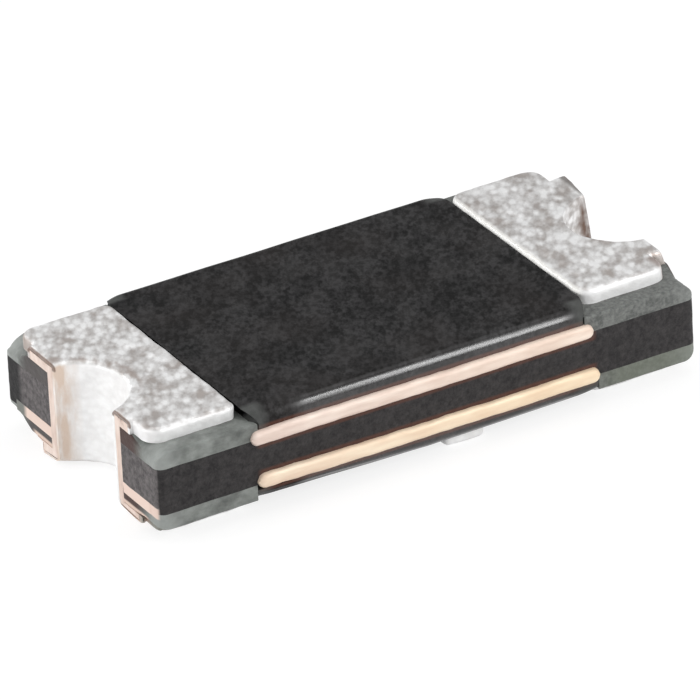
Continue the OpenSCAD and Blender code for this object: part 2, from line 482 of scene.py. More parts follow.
def granules(tree, place, scale, stretch, turned):
    """Rounded grains at a scale in grains per millimetre: 0 in the middle of a grain, about 0.7 between grains."""
    made = add(tree, "ShaderNodeTexVoronoi", {"Vector": drawn_out(tree, place, stretch, turned), "Scale": scale,
                                              "Smoothness": 0.35}, feature="SMOOTH_F1")
    return made.outputs["Distance"]


def grain(tree, place, scale, detail=3.0, roughness=0.55, stretch=None, turned=0.0):
    """Noise at a scale in cycles per millimetre, turned about Z and drawn out along an axis where asked."""
    place = drawn_out(tree, place, stretch, turned)
    made = add(tree, "ShaderNodeTexNoise",
               {"Vector": place, "Scale": scale, "Detail": detail, "Roughness": roughness})
    return made.outputs[0]


def graded(tree, value, low, high, to_low=0.0, to_high=1.0):
    """A value mapped from one range to another and held there."""
    made = add(tree, "ShaderNodeMapRange", {0: value, 1: low, 2: high, 3: to_low, 4: to_high})
    return made.outputs[0]


def blend(tree, factor, first, second):
    """Two colours mixed by a factor."""
    made = add(tree, "ShaderNodeMix", {0: factor, 6: first, 7: second}, data_type="RGBA")
    return made.outputs[2]


def maths(tree, operation, *inputs):
    """One step of arithmetic on values."""
    return add(tree, "ShaderNodeMath", dict(enumerate(inputs)), operation=operation).outputs[0]


def times(tree, first, second):
    """Two values multiplied."""
    return maths(tree, "MULTIPLY", first, second)


def larger(tree, first, second):
    """The larger of two values."""
    return maths(tree, "MAXIMUM", first, second)


def wire(tree, shader, **sources):
    """Links outputs to the shader's inputs."""
    for key, value in sources.items():
        tree.links.new(value, shader.inputs[key.replace("_", " ")])


def parts_of(tree, vector):
    """The x, y and z of a vector, and their sizes."""
    split = add(tree, "ShaderNodeSeparateXYZ", {0: vector})
    sizes = [maths(tree, "ABSOLUTE", s) for s in split.outputs]
    return list(split.outputs), sizes


def left_half(tree, values):
    """1 on the left half of the chip, 0 on the right."""
    return graded(tree, values[0], 0.1, -0.1)


def end_face(tree, place):
    """1 on the sawn ends of the chip, 0 elsewhere."""
    values, sizes = parts_of(tree, place)
    askew = graded(tree, values[1], ASKEW_FROM_Y, ASKEW_TO_Y, 0.0, ASKEW)
    reach = maths(tree, "ADD", sizes[0], times(tree, askew, left_half(tree, values)))
    return graded(tree, reach, END_X - 0.012, END_X - 0.007)


def colour(red, green, blue):
    """A colour given as sRGB from 0 to 255, for a shader socket."""
    def linear(value):
        value /= 255
        return value / 12.92 if value <= 0.04045 else ((value + 0.055) / 1.055) ** 2.4
    return (linear(red), linear(green), linear(blue), 1.0)


def bumped(tree, shader, height, distance, strength=1.0):
    """Fine relief in the shader; the distance is in millimetres."""
    bump = add(tree, "ShaderNodeBump", {"Height": height, "Distance": distance * MM, "Strength": strength})
    wire(tree, shader, Normal=bump.outputs[0])


def band(tree, value, low, high, soft):
    """1 where a value lies between two limits, with soft edges."""
    return times(tree, graded(tree, value, low - soft, low), graded(tree, value, high + soft, high))


def walls(tree):
    """1 on upright faces, 0 on level ones."""
    facing = add(tree, "ShaderNodeTexCoord").outputs["Normal"]
    _, sizes = parts_of(tree, facing)
    return graded(tree, sizes[2], 0.9, 0.5)


def make_tin():
    """Grained matt tin: bright grains, clouds and faint stains; walls painted near-white as lit, painted shade by the
    left hole's rim, in the right pad's dent and on the back left walls, a painted highlight on the right pad's inner
    rim, and bare copper by the sawn ends, darkened at the right as painted shade.
    """
    material, tree, shader, place = new_material("grained_tin")
    values, sizes = parts_of(tree, place)
    crystals = grain(tree, place, 19, 4.0, 0.6, GRAIN_STRETCH, GRAIN_TURN)
    broad = grain(tree, place, 8.0, 3.0, 0.6, GRAIN_STRETCH, GRAIN_TURN)
    grains = graded(tree, granules(tree, place, 24, GRAIN_STRETCH, GRAIN_TURN), 0.62, 0.12, 0.0, 0.42)
    cloudy = graded(tree, broad, 0.64, 0.38, 0.0, 0.42)
    tone = maths(tree, "MULTIPLY_ADD", graded(tree, crystals, 0.36, 0.64), 0.3, grains)
    tone = maths(tree, "ADD", tone, cloudy)
    base = blend(tree, graded(tree, tone, 0.12, 0.8), colour(178, 173, 170), colour(255, 255, 255))
    base = blend(tree, graded(tree, broad, 0.54, 0.68, 0.0, 0.35), base, colour(186, 174, 167))
    left_hole = (-END_X + HOLE_CENTRE["left"], HOLE_Y, 0.0)
    flat = add(tree, "ShaderNodeVectorMath", {0: place, 1: (1.0, 1.0, 0.0)}, operation="MULTIPLY").outputs[0]
    from_hole = add(tree, "ShaderNodeVectorMath", {0: flat, 1: left_hole}, operation="DISTANCE").outputs["Value"]
    # Painted shade: a darker band in the soft crease just outside the left hole's rim
    shade_beside_hole = times(tree, band(tree, from_hole, 0.345, 0.37, 0.03), graded(tree, broad, 0.42, 0.55))
    base = blend(tree, times(tree, shade_beside_hole, 0.6), base, colour(168, 152, 144))
    hole = times(tree, graded(tree, sizes[1], 0.42, 0.36), graded(tree, values[0], 1.2, 1.3))
    dent = times(tree, graded(tree, values[0], 1.575, 1.59), graded(tree, values[1], -0.45, -0.5))
    far_left = times(tree, graded(tree, values[0], -1.4, -1.5), graded(tree, values[1], 0.36, 0.42))
    dull = larger(tree, larger(tree, hole, dent), far_left)
    # Painted reflection: the tin's walls are painted near-white as if lit from the front; the right hole, the dent and
    # the back left walls are left out
    painted_lit_walls = times(tree, walls(tree), graded(tree, dull, 0.0, 1.0, 1.0, 0.0))
    # Painted shade on the walls of the right pad's dent and of the back left corner
    painted_shade_walls = larger(tree, dent, far_left)
    base = blend(tree, times(tree, times(tree, painted_shade_walls, walls(tree)), 0.6), base, colour(164, 146, 134))
    base = blend(tree, times(tree, painted_lit_walls, 0.8), base, colour(252, 252, 252))
    # Painted highlight along the right pad's rounded inner rim, next to the coating
    painted_rim_highlight = graded(tree, values[0], UPPER_WINDOW[1] + 0.035, UPPER_WINDOW[1] + 0.02)
    painted_rim_highlight = times(tree, painted_rim_highlight, graded(tree, values[0], UPPER_WINDOW[1] - 0.03, UPPER_WINDOW[1] - 0.02))
    base = blend(tree, times(tree, painted_rim_highlight, 0.8), base, colour(255, 254, 250))
    # Bare copper on the walls by the sawn ends: tan at the left, and at the right darkened by painted shade
    by_end = graded(tree, sizes[0], END_X - 0.13, END_X - 0.05)
    streaks = graded(tree, grain(tree, place, 18, 3.0, 0.6, (1.0, 1.0, 0.3)), 0.35, 0.6, 0.35, 1.0)
    bare = times(tree, times(tree, by_end, walls(tree)), band(tree, values[1], 0.12, 0.34, 0.06))
    copper_and_shade = blend(tree, left_half(tree, values), colour(116, 94, 82), colour(222, 202, 186))
    base = blend(tree, times(tree, bare, streaks), base, copper_and_shade)
    # Painted shadow in the small dent at the front of the right pad
    spot = times(tree, band(tree, values[0], 1.54, 1.6, 0.03), band(tree, values[1], -0.66, -0.57, 0.03))
    base = blend(tree, times(tree, spot, 0.6), base, colour(138, 112, 100))
    far_edge = times(tree, graded(tree, values[0], END_X - 0.05, END_X - 0.03), graded(tree, values[1], 0.24, 0.3))
    base = blend(tree, times(tree, far_edge, 0.7), base, colour(112, 104, 100))
    sawn = end_face(tree, place)
    high = graded(tree, values[2], TOP_Z - 0.06, TOP_Z - 0.05)
    base = blend(tree, times(tree, times(tree, sawn, high), 0.85), base, colour(122, 98, 86))
    low = times(tree, graded(tree, values[2], 0.11, 0.1), graded(tree, values[0], -END_X + 0.16, -END_X + 0.1))
    low = times(tree, low, graded(tree, sizes[1], 0.36, 0.4))
    foot = blend(tree, graded(tree, values[1], -0.56, -0.62), colour(226, 206, 194), colour(138, 138, 130))
    base = blend(tree, low, base, foot)
    wire(tree, shader, Base_Color=base, Metallic=graded(tree, painted_lit_walls, 0.0, 1.0, 0.6, 0.2),
         Roughness=graded(tree, crystals, 0.3, 0.7, 0.55, 0.4))
    bumped(tree, shader, crystals, 0.006)
    return material


def make_copper():
    """Sawn copper, pale and smeared."""
    material, tree, shader, place = new_material("sawn_copper", Metallic=0.7)
    smear = grain(tree, place, 14, 3.0, 0.6, (1.0, 1.0, 0.35))
    base = blend(tree, graded(tree, smear, 0.35, 0.7), colour(220, 198, 186), colour(246, 230, 220))
    values, _ = parts_of(tree, place)
    near_top = times(tree, graded(tree, values[1], -0.36, -0.4), graded(tree, values[2], TOP_Z - 0.07, TOP_Z - 0.04))
    spots = graded(tree, grain(tree, place, 24, 2.0, 0.5), 0.46, 0.56)
    base = blend(tree, times(tree, times(tree, near_top, spots), 0.7), base, colour(122, 88, 72))
    wire(tree, shader, Base_Color=base, Roughness=graded(tree, smear, 0.3, 0.7, 0.55, 0.4))
    bumped(tree, shader, grain(tree, place, 40, 2.0), 0.002)
    return material


def make_foil(name, dull, bright, gold):
    """Rolled foil edge, streaked along the cut, pink where an end of the chip cuts it."""
    material, tree, shader, place = new_material(name, Metallic=0.3, Specular_IOR_Level=0.2)
    streaks = grain(tree, place, 12, 3.0, 0.6, (0.3, 1.0, 1.6))
    base = blend(tree, graded(tree, streaks, 0.3, 0.72), dull, bright)
    values, _ = parts_of(tree, place)
    golden = graded(tree, values[0], -0.9, 1.05, 0.0, gold)
    base = blend(tree, golden, base, colour(250, 226, 176))
    sawn = blend(tree, graded(tree, values[1], 0.59, 0.63), colour(236, 214, 202), colour(128, 130, 125))
    base = blend(tree, end_face(tree, place), base, sawn)
    wire(tree, shader, Base_Color=base, Roughness=graded(tree, streaks, 0.3, 0.7, 0.7, 0.55))
    bumped(tree, shader, grain(tree, place, 30, 3.0, 0.6, (0.3, 1.0, 1.5)), 0.002)
    return material


def strip_shade_lines(tree, place, soft):
    """1 in thin lines along the long sides, just above and below the rolled foil edges, where brown painted shade is
    laid.
    """
    values, sizes = parts_of(tree, place)
    rightward = larger(tree, values[0], 0.0)
    leftward = maths(tree, "SUBTRACT", sizes[0], rightward)
    lines = 0.0
    for low, high, bow in ((UPPER_FOIL_LOW[2], UPPER_FOIL_HIGH[2], UPPER_BOW),
                           (LOWER_FOIL_LOW[2], LOWER_FOIL_HIGH[2], LOWER_BOW)):
        lift = maths(tree, "MULTIPLY_ADD", leftward, bow[1], bow[0])
        lift = maths(tree, "MULTIPLY_ADD", rightward, bow[2], lift)
        height = maths(tree, "SUBTRACT", values[2], lift)
        near = band(tree, height, low - soft, high + soft, soft)
        lines = larger(tree, near, lines)
    in_window = graded(tree, sizes[0], LOWER_WINDOW[1], LOWER_WINDOW[1] - 0.03)
    return times(tree, times(tree, lines, in_window), graded(tree, sizes[1], SIDE_Y - 0.02, SIDE_Y - 0.012))


def foil_smear(tree, values):
    """1 on the left end where copper is smeared from the lower foil to the front corner."""
    middle = (LOWER_FOIL_LOW[2] + LOWER_FOIL_HIGH[2]) / 2
    level = band(tree, values[2], middle - FOIL_THICK / 2 + 0.004, middle + FOIL_THICK / 2 - 0.004, 0.006)
    near_corner = band(tree, values[1], -0.78, -0.68, 0.02)
    return times(tree, times(tree, level, near_corner), left_half(tree, values))


def make_core():
    """Sawn carbon-filled polymer: ends painted greyer as lit from the left, with painted shade at their back corners;
    brown painted shade beside the foil edges.
    """
    material, tree, shader, place = new_material("carbon_polymer", Specular_IOR_Level=0.3)
    specks = grain(tree, place, 30, 4.0, 0.7)
    side = blend(tree, graded(tree, specks, 0.35, 0.7), colour(34, 32, 33), colour(58, 55, 55))
    # Brown painted shade in the gaps just above and below the standing foil edges
    side = blend(tree, times(tree, strip_shade_lines(tree, place, 0.012), 0.7), side, colour(92, 58, 46))
    # Painted light: the sawn ends are painted greyer than the long sides, as lit from the left
    end = blend(tree, graded(tree, specks, 0.35, 0.7), colour(72, 69, 70), colour(112, 107, 107))
    values, _ = parts_of(tree, place)
    # Painted shade on the back corners of the ends, where they turn away from the light
    end = blend(tree, graded(tree, values[1], 0.62, 0.67), end, colour(30, 29, 30))
    end = blend(tree, foil_smear(tree, values), end, colour(230, 206, 194))
    base = blend(tree, end_face(tree, place), side, end)
    wire(tree, shader, Base_Color=base, Roughness=graded(tree, specks, 0.3, 0.7, 0.75, 0.55))
    bumped(tree, shader, specks, 0.006)
    return material


def make_resin():
    """Sawn glass-filled resin: grey-green, lighter at the corners, smeared brown and pink where the ends are sawn."""
    material, tree, shader, place = new_material("glass_resin", Specular_IOR_Level=0.3)
    cloud = grain(tree, place, 9, 4.0, 0.65, (0.8, 1.0, 1.2))
    speckle = grain(tree, place, 40, 3.0, 0.6)
    values, sizes = parts_of(tree, place)
    left = blend(tree, graded(tree, cloud, 0.32, 0.7), colour(96, 99, 96), colour(146, 150, 146))
    right = blend(tree, graded(tree, speckle, 0.35, 0.68), colour(86, 88, 86), colour(124, 126, 123))
    base = blend(tree, graded(tree, values[0], -0.5, 0.5), left, right)
    low = graded(tree, values[2], MID_Z, MID_Z - 0.1)
    green = times(tree, graded(tree, values[0], 1.0, 1.2), low)
    base = blend(tree, times(tree, green, 0.6), base, colour(114, 120, 106))
    corner = times(tree, graded(tree, sizes[0], END_X - 0.2, END_X), graded(tree, sizes[1], SIDE_Y - 0.2, SIDE_Y))
    corner = times(tree, corner, graded(tree, values[0], 0.5, -0.5, 0.25, 0.85))
    base = blend(tree, corner, base, colour(172, 176, 173))
    sawn = end_face(tree, place)
    dark = times(tree, sawn, graded(tree, sizes[1], 0.66, 0.56))
    browned = blend(tree, graded(tree, values[1], 0.0, 0.3), colour(72, 54, 50), colour(80, 76, 75))
    base = blend(tree, dark, base, browned)
    pink = times(tree, sawn, graded(tree, values[2], 0.122, 0.112))
    pink = times(tree, pink, band(tree, values[1], -0.66, 0.5, 0.04))
    base = blend(tree, pink, base, colour(222, 198, 184))
    base = blend(tree, times(tree, sawn, foil_smear(tree, values)), base, colour(230, 206, 194))
    wire(tree, shader, Base_Color=base, Roughness=graded(tree, cloud, 0.3, 0.7, 0.7, 0.5))
    bumped(tree, shader, grain(tree, place, 36, 3.0, 0.6, (0.7, 1.0, 1.2)), 0.004)
    return material


def make_coat():
    """Black satin coating with a fine grain: shiny long edges, grey corners, brown painted shade beside the foil edges.
    """
    material, tree, shader, place = new_material("black_coat")
    fine = grain(tree, place, 40, 3.0, 0.6, GRAIN_STRETCH, GRAIN_TURN)
    broad = grain(tree, place, 2.2, 2.0)
    clouds = grain(tree, place, 7.0, 2.0, 0.5, GRAIN_STRETCH, GRAIN_TURN)
    base = blend(tree, graded(tree, fine, 0.4, 0.62), colour(0, 0, 0), colour(54, 53, 54))
    base = blend(tree, graded(tree, clouds, 0.56, 0.4, 0.0, 0.45), base, colour(0, 0, 0))
    base = blend(tree, graded(tree, clouds, 0.46, 0.64, 0.0, 0.4), base, colour(52, 51, 51))
    base = blend(tree, times(tree, graded(tree, broad, 0.4, 0.7), 0.25), base, colour(50, 44, 42))
    # Brown painted shade in the gaps just above and below the standing foil edges
    base = blend(tree, times(tree, strip_shade_lines(tree, place, 0.012), 0.7), base, colour(92, 58, 46))
    values, sizes = parts_of(tree, place)
    inner = band(tree, values[0], UPPER_WINDOW[0] + 0.13, UPPER_WINDOW[1] - 0.13, 0.06)
    thin = times(tree, graded(tree, inner, 1.0, 0.0), graded(tree, sizes[1], 0.69, 0.72))
    base = blend(tree, times(tree, thin, 0.55), base, colour(96, 98, 96))
    shoulder = graded(tree, sizes[1], SIDE_Y - 0.05, SIDE_Y - 0.03)
    shoulder = times(tree, shoulder, band(tree, values[0], SHINE_FROM_X, SHINE_TO_X, 0.1))
    wire(tree, shader, Base_Color=base, Specular_IOR_Level=graded(tree, shoulder, 0.0, 1.0, 0.15, 0.7),
         Roughness=graded(tree, shoulder, 0.0, 1.0, 0.45, 0.26))
    bumped(tree, shader, fine, 0.0012, graded(tree, shoulder, 0.0, 1.0, 1.0, 0.0))
    return material


# Materials
tin = make_tin()
copper = make_copper()
upper_copper_foil = make_foil("upper_rolled_foil", colour(228, 206, 194), colour(249, 233, 222), 0.12)
lower_copper_foil = make_foil("lower_rolled_foil", colour(240, 215, 192), colour(255, 238, 215), 0.3)
core_look = make_core()
resin_look = make_resin()
coat_look = make_coat()


def foil_plate(window, side, low, high, beyond):
    """A foil's plate: set back from the long sides, running to one end, with a wide tab in the window."""
    way = 1 if side == "right" else -1
    free = low[0] if side == "right" else high[0]
    end = way * END_X * (1 + beyond / END_X)
    middle = (low[2] + high[2]) / 2
    y, tab = FOIL_HALF_WIDTH, SIDE_Y - TAB_INSET
    near, far = min(free, end), max(free, end)
    left, right = window[0] + TAB_END_GAP, window[1] - TAB_END_GAP
    points = [(near, -y), (left, -y), (left, -tab), (right, -tab), (right, -y), (far, -y)]
    hole = way * END_X - way * HOLE_CENTRE[side]
    turn = math.degrees(math.acos(min(1, (abs(hole) - abs(end)) / DRILL_RADIUS)))
    if side == "right":
        points += arc((hole, HOLE_Y), DRILL_RADIUS, 180 + turn, 180 - turn)
    points += [(far, y), (right, y), (right, tab), (left, tab), (left, y), (near, y)]
    if side == "left":
        points += arc((hole, HOLE_Y), DRILL_RADIUS, turn, -turn)
    rising = np.linspace(middle - FOIL_THICK / 2, middle + FOIL_THICK / 2, PLATE_LEVELS)
    return prism(stacked(dense(points), [(0.0, z) for z in rising]))


def foil_edge(window, low, high, side, seed, bow):
    """A foil's rolled edge on one long side: a rounded, slightly uneven bead with rounded tips."""
    middle, half = (low[2] + high[2]) / 2, (high[2] - low[2]) / 2
    stand = high[1] - SIDE_Y
    turn = np.linspace(0, math.pi / 2, EDGE_POINTS)
    r = FOIL_EDGE_ROUND
    upper = [(stand - r + r * math.sin(t), half - r + r * math.cos(t)) for t in turn]
    section = [(-OVERLAP, half)] + upper + [(y, -z) for y, z in reversed(upper)] + [(-OVERLAP, -half)]
    xs = np.arange(window[0], window[1] + COAT_STEP / 2, COAT_STEP)
    xs[-1] = window[1]
    line = np.column_stack([xs, np.zeros(len(xs)), np.zeros(len(xs))])
    tall = STRIP_SLIM - 0.10 * np.abs(ripple(line, 0.16, seed)) - 0.05 * np.abs(ripple(line, 0.05, seed + 1))
    out = 1 - 0.22 * np.abs(ripple(line, 0.21, seed + 2))
    drift = 0.004 * ripple(line, 0.5, seed + 3) + bow[0] + bow[1] * np.maximum(-xs, 0) + bow[2] * np.maximum(xs, 0)
    tip = half * 0.8
    near = np.minimum(xs - window[0], window[1] - xs)
    ease = np.sqrt(np.clip(1 - (1 - np.clip(near / tip, 0, 1)) ** 2, 0.02, 1))
    verts = []
    for i, x in enumerate(xs):
        for y, z in section:
            depth = y * out[i] * (0.4 + 0.6 * ease[i]) if y > 0 else y
            verts.append((x, side * (SIDE_Y + depth), middle + drift[i] + z * tall[i] * ease[i]))
    faces = swept(len(xs), len(section))
    return np.array(verts), faces if side < 0 else [face[::-1] for face in faces]


def joined(*meshes):
    """Several meshes as one."""
    verts, faces = [], []
    for more_verts, more_faces in meshes:
        base = sum(len(v) for v in verts)
        verts.append(more_verts)
        faces += [tuple(base + i for i in face) for face in more_faces]
    return np.vstack(verts), faces


def make_foil_piece(node, window, side, low, high, material, seed, bow):
    """One inner foil with its plate and its two rolled edges."""
    edges = [foil_edge(window, low, high, way, seed + 10 * way, bow) for way in (-1, 1)]
    piece = to_object(node, *joined(foil_plate(window, side, low, high, 0.0), *edges))
    seat(piece, node, material)


make_foil_piece("upper_foil", UPPER_WINDOW, "right", UPPER_FOIL_LOW, UPPER_FOIL_HIGH, upper_copper_foil, 31, UPPER_BOW)
make_foil_piece("lower_foil", LOWER_WINDOW, "left", LOWER_FOIL_LOW, LOWER_FOIL_HIGH, lower_copper_foil, 61, LOWER_BOW)
foil_tools = [foil_plate(UPPER_WINDOW, "right", UPPER_FOIL_LOW, UPPER_FOIL_HIGH, OVERLAP),
              foil_plate(LOWER_WINDOW, "left", LOWER_FOIL_LOW, LOWER_FOIL_HIGH, OVERLAP)]

# Core
core_levels = stacked(chip_outline(), heights(CORE_LOW[2], CORE_HIGH[2]))
core = to_object("core", *prism(core_levels, relief=cut_relief))
carve(core, *foil_tools)
seat(core, "ptc_core", core_look)


def worn(verts, low, high):
    """A resin sheet whose outer edge is worn down at the ends of the chip, most at the back left corner."""
    outer = (verts[:, 2] - low) / (high - low)
    into = END_X - np.abs(verts[:, 0])
    beside_ring = np.clip((np.abs(verts[:, 1]) - RING_RADIUS) / BESIDE_RING, 0, 1)
    amount = np.full(len(verts), SHEET_WEAR)
    if high > low:
        amount[verts[:, 0] > 0] = RIGHT_SHEET_WEAR
    else:
        amount[(verts[:, 0] < 0) & (verts[:, 1] < 0)] = NEAR_FOOT_WEAR
    drop = amount * beside_ring * np.clip(1 - into / SHEET_WEAR_REACH, 0, 1) ** 2
    corner = np.hypot(verts[:, 0] + END_X, verts[:, 1] - SIDE_Y)
    drop += CORNER_WEAR * np.clip(1 - corner / CORNER_WEAR_REACH, 0, 1) ** 2
    bent = verts.copy()
    bent[:, 2] -= np.sign(high - low) * outer * np.minimum(drop, SHEET_WEAR_LIMIT * abs(high - low))
    return bent


# Resin sheets
for node, window, low, high, tool, rounds, faces_up in (
        ("upper_resin_sheet", UPPER_WINDOW, UPPER_RESIN_LOW, UPPER_RESIN_HIGH, foil_tools[0], (0, SHEET_ROUND), True),
        ("lower_resin_sheet", LOWER_WINDOW, LOWER_RESIN_LOW, LOWER_RESIN_HIGH, foil_tools[1], (SHEET_ROUND, 0), False)):
    end_gap = REBATE_END_GAP if faces_up else 0.0
    sheet_outline = chip_outline((window[0] + end_gap, window[1] - end_gap), COAT_WRAP)
    sheet_levels = stacked(sheet_outline, heights(low[2], high[2], *rounds))
    sheet_verts, sheet_faces = prism(sheet_levels, SHEET_CELL, cut_relief)
    inner_z, outer_z = (low[2], high[2]) if faces_up else (high[2], low[2])
    sheet = to_object(node, worn(sheet_verts, inner_z, outer_z), sheet_faces)
    carve(sheet, tool)
    seat(sheet, node, resin_look)


def pad_levels(side, inset, hole_radius, low, high, edge_round):
    """Levels of a terminal's full-height block: the upper pad's outline above the middle, the lower one's below."""
    index = 0 if side == "left" else 1
    upper = pad_outline(side, UPPER_WINDOW[index], inset, hole_radius)
    lower = pad_outline(side, LOWER_WINDOW[index], inset, hole_radius)
    return [(*(upper if z > MID_Z else lower), round_inset, z)
            for round_inset, z in heights(low, high, edge_round, edge_round)]


def rolled(verts, side):
    """A terminal worn at the sawn end: its top bent down; at the left its foot bent up and pulled forwards, with a
    lifted hole rim; at the right its top drawn in."""
    reach = END_ROLL[side]
    into = END_X - np.abs(verts[:, 0])
    top = np.clip((verts[:, 2] - UPPER_RESIN_HIGH[2]) / (TOP_Z - UPPER_RESIN_HIGH[2]), 0, 1)
    bent = verts.copy()
    bent[:, 2] -= top * np.clip(reach - into, 0, reach) ** 2 / (2 * reach)
    if side == "left":
        bent[:, 2] -= LEFT_TOP_DROP * top
        foot = np.clip((LOWER_RESIN_LOW[2] - verts[:, 2]) / LOWER_RESIN_LOW[2], 0, 1)
        forward = np.clip((FOOT_SHARE_FROM_Y - verts[:, 1]) / FOOT_SHARE_WIDTH, 0, 1)
        towards_front = FOOT_BACK_SHARE + (1 - FOOT_BACK_SHARE) * forward
        bent[:, 2] += foot * towards_front * np.clip(FOOT_ROLL - into, 0, FOOT_ROLL) ** 2 / (2 * FOOT_ROLL)
        below = verts[:, 2] < LOWER_RESIN_LOW[2] + 1e-6
        by_cut = np.clip(1 - into / FOOT_ROLL, 0, 1)
        bent[:, 1] -= below * by_cut * FOOT_FAR_PULL * np.maximum(verts[:, 1] - FOOT_FAR_Y, 0)
        bent[:, 1] -= below * by_cut * FOOT_NEAR_PULL * np.maximum(FOOT_NEAR_Y - verts[:, 1], 0)
        from_hole = np.hypot(verts[:, 0] + END_X - HOLE_CENTRE["left"], verts[:, 1] - HOLE_Y)
        bent[:, 2] += foot * FOOT_RIM_LIFT * np.clip(1 - (from_hole - TIN_HOLE_RADIUS) / FOOT_RIM_REACH, 0, 1)
    else:
        foot = np.where(verts[:, 1] < 0, RIGHT_WEAR_FOOT["front"], RIGHT_WEAR_FOOT["back"])
        raised = np.clip((verts[:, 2] - foot) / (TOP_Z - foot), 0, 1)
        by_cut = np.clip(1 - into / RIGHT_WEAR_REACH, 0, 1)
        bent[:, 0] -= np.interp(verts[:, 1], RIGHT_WEAR_Y, RIGHT_WEAR) * raised * by_cut
    bent[:, 2] = np.clip(bent[:, 2], 0, TOP_Z)
    return bent


def gap_tool(side, radius):
    """The room of the laminate between the upper and lower pads, outside the barrel of the given radius."""
    hole = HOLE_CENTRE[side]
    turn = math.degrees(math.acos((-hole - GAP_BEYOND) / radius))
    corners = [(-GAP_BEYOND, -1), (GAP_REACH, -1), (GAP_REACH, 1), (-GAP_BEYOND, 1)]
    outline = dense(arc((hole, HOLE_Y), radius, turn, -turn) + corners)
    if side == "left":
        outline = outline + (-END_X, 0)
    else:
        outline = (outline * (-1, 1) + (END_X, 0))[::-1]
    return prism(stacked(outline, [(0.0, LOWER_RESIN_LOW[2]), (0.0, UPPER_RESIN_HIGH[2])]))


def tin_grain(points):
    """Relief of the tin: broad swells, crystals and a few blisters."""
    blisters = np.clip(ripple(points, BLISTER_WAVELENGTH, BLISTER_SEED) - BLISTER_FROM, 0, 1)
    return waves(points, TIN_WAVES) + BLISTER_HEIGHT * blisters - TIN_SETTLE


for side in ("left", "right"):
    copper_verts, copper_faces = prism(pad_levels(side, TIN_THICK, COPPER_HOLE_RADIUS,
                                                  COPPER_LOW[2], COPPER_HIGH[2], 0.0), COPPER_CELL)
    at_end = np.abs(np.abs(copper_verts[:, 0]) - END_X) < CLOSE
    copper_verts = rolled(copper_verts, side)
    terminal = to_object(side, copper_verts, copper_faces)
    carve(terminal, gap_tool(side, DRILL_RADIUS))
    seat(terminal, side + "_terminal", copper)

    tin_verts, tin_faces = prism(pad_levels(side, 0.0, TIN_HOLE_RADIUS, TIN_LOW[2], TIN_HIGH[2], RIM_ROUND), PAD_CELL)
    plating = to_object(side, rolled(swell(tin_verts, tin_faces, tin_grain(tin_verts)), side), tin_faces)
    longer = copper_verts.copy()
    longer[at_end, 0] *= 1 + OVERLAP / END_X
    carve(plating, gap_tool(side, COPPER_HOLE_RADIUS), (longer, copper_faces))
    seat(plating, side + "_tin_plating", tin)


def coat_mesh(window, low, high, flip, seed, thinning, corner):
    """The coating between the pads: rounded long edges that wrap the resin; flip turns it to the underside;
    corner is how far its ends draw in beside the pads."""
    r = COAT_SHOULDER
    tall = high[2] - low[2]
    seat_height = UPPER_RESIN_HIGH[2] - UPPER_COAT_LOW[2]
    turn = np.linspace(0, math.pi / 2, SHOULDER_POINTS)
    shoulder = [(SIDE_Y - r + r * math.cos(t), tall - r + r * math.sin(t)) for t in turn]
    across = np.arange(SIDE_Y - r - COAT_STEP, r - SIDE_Y, -COAT_STEP)
    outer = [(SIDE_Y, 0.0), (SIDE_Y, (tall - r) / 2)] + shoulder + [(y, tall) for y in across]
    outer += [(-y, z) for y, z in reversed(shoulder)] + [(-SIDE_Y, (tall - r) / 2), (-SIDE_Y, 0.0)]
    inner = SIDE_Y - COAT_WRAP
    section = outer + [(-inner, 0.0), (-inner, seat_height), (inner, seat_height), (inner, 0.0)]
    xs = np.linspace(window[0], window[1], math.ceil((window[1] - window[0]) / COAT_STEP) + 1)
    verts = np.array([(x, y, z) for x in xs for y, z in section])
    exposed = np.tile(np.array([i < len(outer) and z > 1e-6 for i, (_, z) in enumerate(section)]), len(xs))
    level = np.abs(verts[:, 1]) < SIDE_Y - r
    relief = COAT_WAVE * ripple(verts, 0.35, seed) + COAT_GRAIN * level * ripple(verts, 0.04, seed + 1) - COAT_WAVE
    faces = swept(len(xs), len(section))
    moved = swell(verts, faces, np.where(exposed, relief, 0.0))
    beyond_seat = np.clip((np.abs(verts[:, 1]) - inner) / SEAT_FADE, 0, 1)
    base = seat_height + (WRAP_BASE - seat_height) * beyond_seat
    moved[:, 2] -= np.maximum(moved[:, 2] - base, 0) * thinning(moved[:, 0])
    to_end = np.minimum(verts[:, 0] - window[0], window[1] - verts[:, 0])
    beside_pad = np.clip((np.abs(verts[:, 1]) - COAT_CORNER_FROM_Y) / (SIDE_Y - COAT_CORNER_FROM_Y), 0, 1)
    drawn_in = corner * beside_pad ** 2 * np.clip(1 - to_end / COAT_END_REACH, 0, 1)
    moved[:, 0] += np.sign((window[0] + window[1]) / 2 - verts[:, 0]) * drawn_in
    turned = exposed * beside_pad * np.clip(1 - to_end / COAT_END_REACH, 0, 1) ** 2
    moved[:, 2] -= COAT_CORNER_DROP * turned * np.maximum(moved[:, 2] - WRAP_BASE, 0)
    if flip:
        moved[:, 2] = high[2] - moved[:, 2]
        faces = [face[::-1] for face in faces]
    else:
        moved[:, 2] += low[2]
    return moved, faces


def even(x):
    """The upper coating keeps its thickness."""
    return 0.0 * x


def worn_ends(x):
    """The lower coating thins towards its ends, most at the left."""
    reach = np.clip(np.abs(x) / END_X * THIN_SPREAD, 0, 1)
    return THIN + np.where(x < 0, THIN_LEFT, THIN_RIGHT) * reach


upper_coat = to_object("coat", *coat_mesh(UPPER_WINDOW, UPPER_COAT_LOW, UPPER_COAT_HIGH, False, 11, even, COAT_CORNER))
seat(upper_coat, "upper_coating", coat_look)

